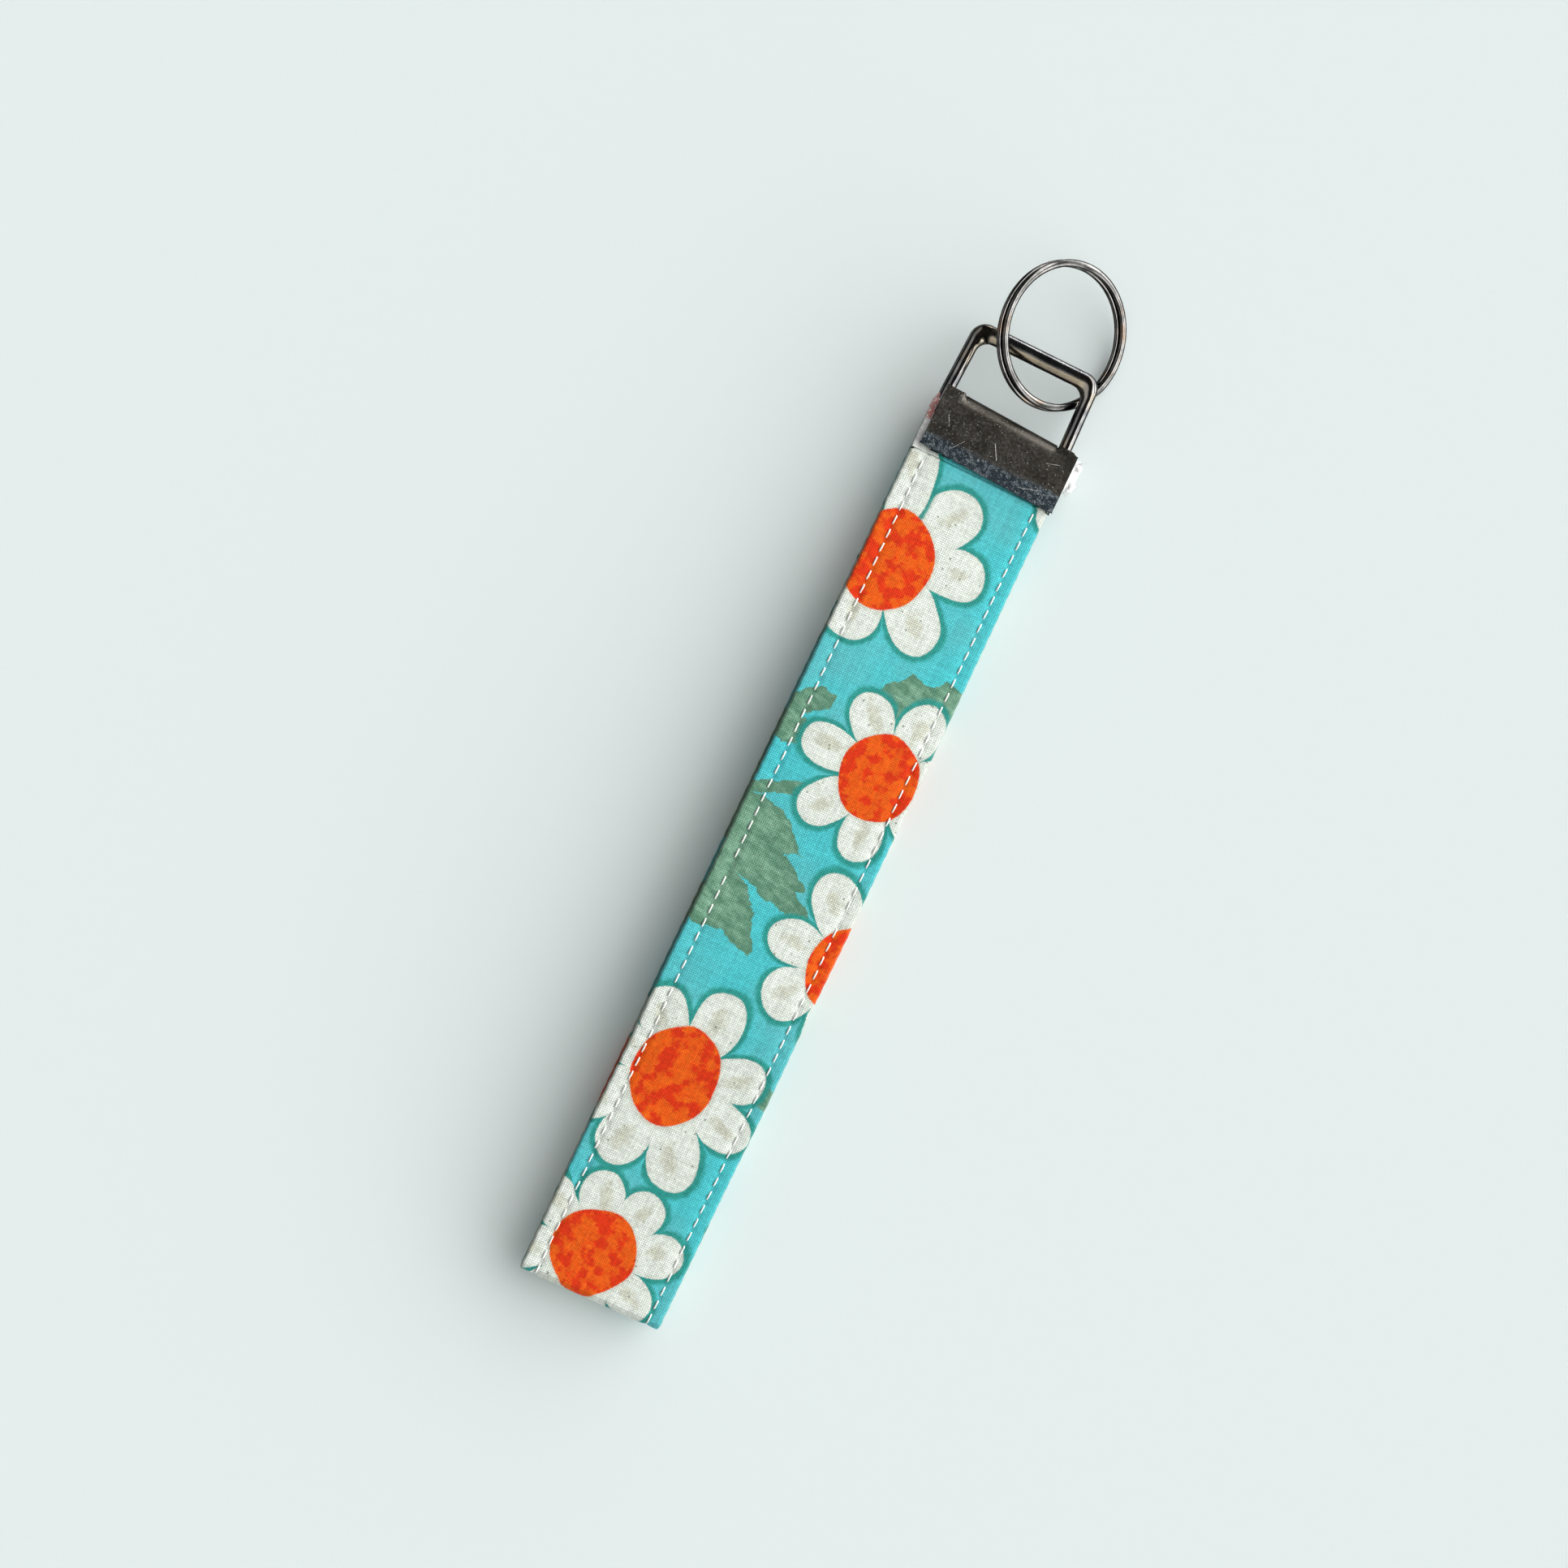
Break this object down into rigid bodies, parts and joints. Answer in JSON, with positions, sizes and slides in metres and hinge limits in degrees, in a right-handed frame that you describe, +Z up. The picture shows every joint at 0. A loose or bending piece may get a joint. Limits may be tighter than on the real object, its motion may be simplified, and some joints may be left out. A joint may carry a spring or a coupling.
{
  "type": "wristlet keychain",
  "caption": "Flat fabric wrist loop in a flower print, its ends in a toothed metal clamp that carries a swinging bail and a split key ring.",
  "frame": {"origin": "on the surface it lies on, under the middle of the whole object", "axes": "+Y along the strap from its fold to the split ring, +Z up out of the surface, +X across the strap to the right when seen from above with the ring at the far end"},
  "size_m": [0.0268, 0.195, 0.0132],
  "materials": {
    "printed_cotton": "plain-weave printed cotton",
    "batting": "white fusible fleece and webbing",
    "topstitch_thread": "cream polyester thread",
    "clamp_metal": "worn dark nickel plate, scratched and pitted",
    "bail_metal": "polished nickel plate",
    "ring_steel": "polished nickel-plated spring steel"
  },
  "bodies": {
    "back_mid": {"back_mid_cover": "printed_cotton", "back_mid_core": "batting", "back_mid_thread": "topstitch_thread"},
    "back_upper": {"back_upper_cover": "printed_cotton", "back_upper_core": "batting", "back_upper_thread": "topstitch_thread"},
    "clamp": {"end_clamp": "clamp_metal", "tab_cover": "printed_cotton", "tab_core": "batting"},
    "bail": {"bail": "bail_metal"},
    "ring": {"split_ring": "ring_steel"},
    "back_lower": {"back_lower_cover": "printed_cotton", "back_lower_core": "batting", "back_lower_thread": "topstitch_thread"},
    "fold": {"fold_cover": "printed_cotton", "fold_core": "batting", "fold_thread": "topstitch_thread"},
    "front_lower": {"front_lower_cover": "printed_cotton", "front_lower_core": "batting", "front_lower_thread": "topstitch_thread"},
    "front_mid": {"front_mid_cover": "printed_cotton", "front_mid_core": "batting", "front_mid_thread": "topstitch_thread"},
    "front_upper": {"front_upper_cover": "printed_cotton", "front_upper_core": "batting", "front_upper_thread": "topstitch_thread"}
  },
  "joints": [
    {"name": "loop_open", "type": "hinge", "parent": "back_mid", "child": "back_lower", "pos_m": [0, -0.04445, 0.00065], "axis": [-1, 0, 0], "range_deg": [0, 60]},
    {"name": "back_upper_flex", "type": "hinge", "parent": "back_mid", "child": "back_upper", "pos_m": [0, 0.00655, 0.00065], "axis": [1, 0, 0], "range_deg": [0, 60]},
    {"name": "clamp_flex", "type": "hinge", "parent": "back_upper", "child": "clamp", "pos_m": [0, 0.0565, 0.00295], "axis": [1, 0, 0], "range_deg": [-60, 0]},
    {"name": "bail_swing", "type": "hinge", "parent": "clamp", "child": "bail", "pos_m": [-0.0002, 0.06595, 0.00375], "axis": [1, 0, 0], "range_deg": [-58, 4]},
    {"name": "ring_flip", "type": "hinge", "parent": "bail", "child": "ring", "pos_m": [-0.0002, 0.07967, 0.00519], "axis": [1, 0, 0], "range_deg": [0, 130]},
    {"name": "back_fold_flex", "type": "hinge", "parent": "back_lower", "child": "fold", "pos_m": [0, -0.0944, 0.00295], "axis": [1, 0, 0], "range_deg": [0, 60]},
    {"name": "front_fold_flex", "type": "hinge", "parent": "fold", "child": "front_lower", "pos_m": [0, -0.0944, 0.00455], "axis": [1, 0, 0], "range_deg": [0, 60]},
    {"name": "front_lower_flex", "type": "hinge", "parent": "front_lower", "child": "front_mid", "pos_m": [0, -0.04445, 0.00685], "axis": [1, 0, 0], "range_deg": [-60, 0]},
    {"name": "front_upper_flex", "type": "hinge", "parent": "front_mid", "child": "front_upper", "pos_m": [0, 0.00655, 0.00685], "axis": [1, 0, 0], "range_deg": [-60, 0]}
  ],
  "couplings": [
    {"joint": "back_upper_flex", "follows": "loop_open", "ratio": 1},
    {"joint": "clamp_flex", "follows": "loop_open", "ratio": -1},
    {"joint": "back_fold_flex", "follows": "loop_open", "ratio": 1},
    {"joint": "front_fold_flex", "follows": "loop_open", "ratio": 1},
    {"joint": "front_lower_flex", "follows": "loop_open", "ratio": -1},
    {"joint": "front_upper_flex", "follows": "loop_open", "ratio": -1}
  ]
}
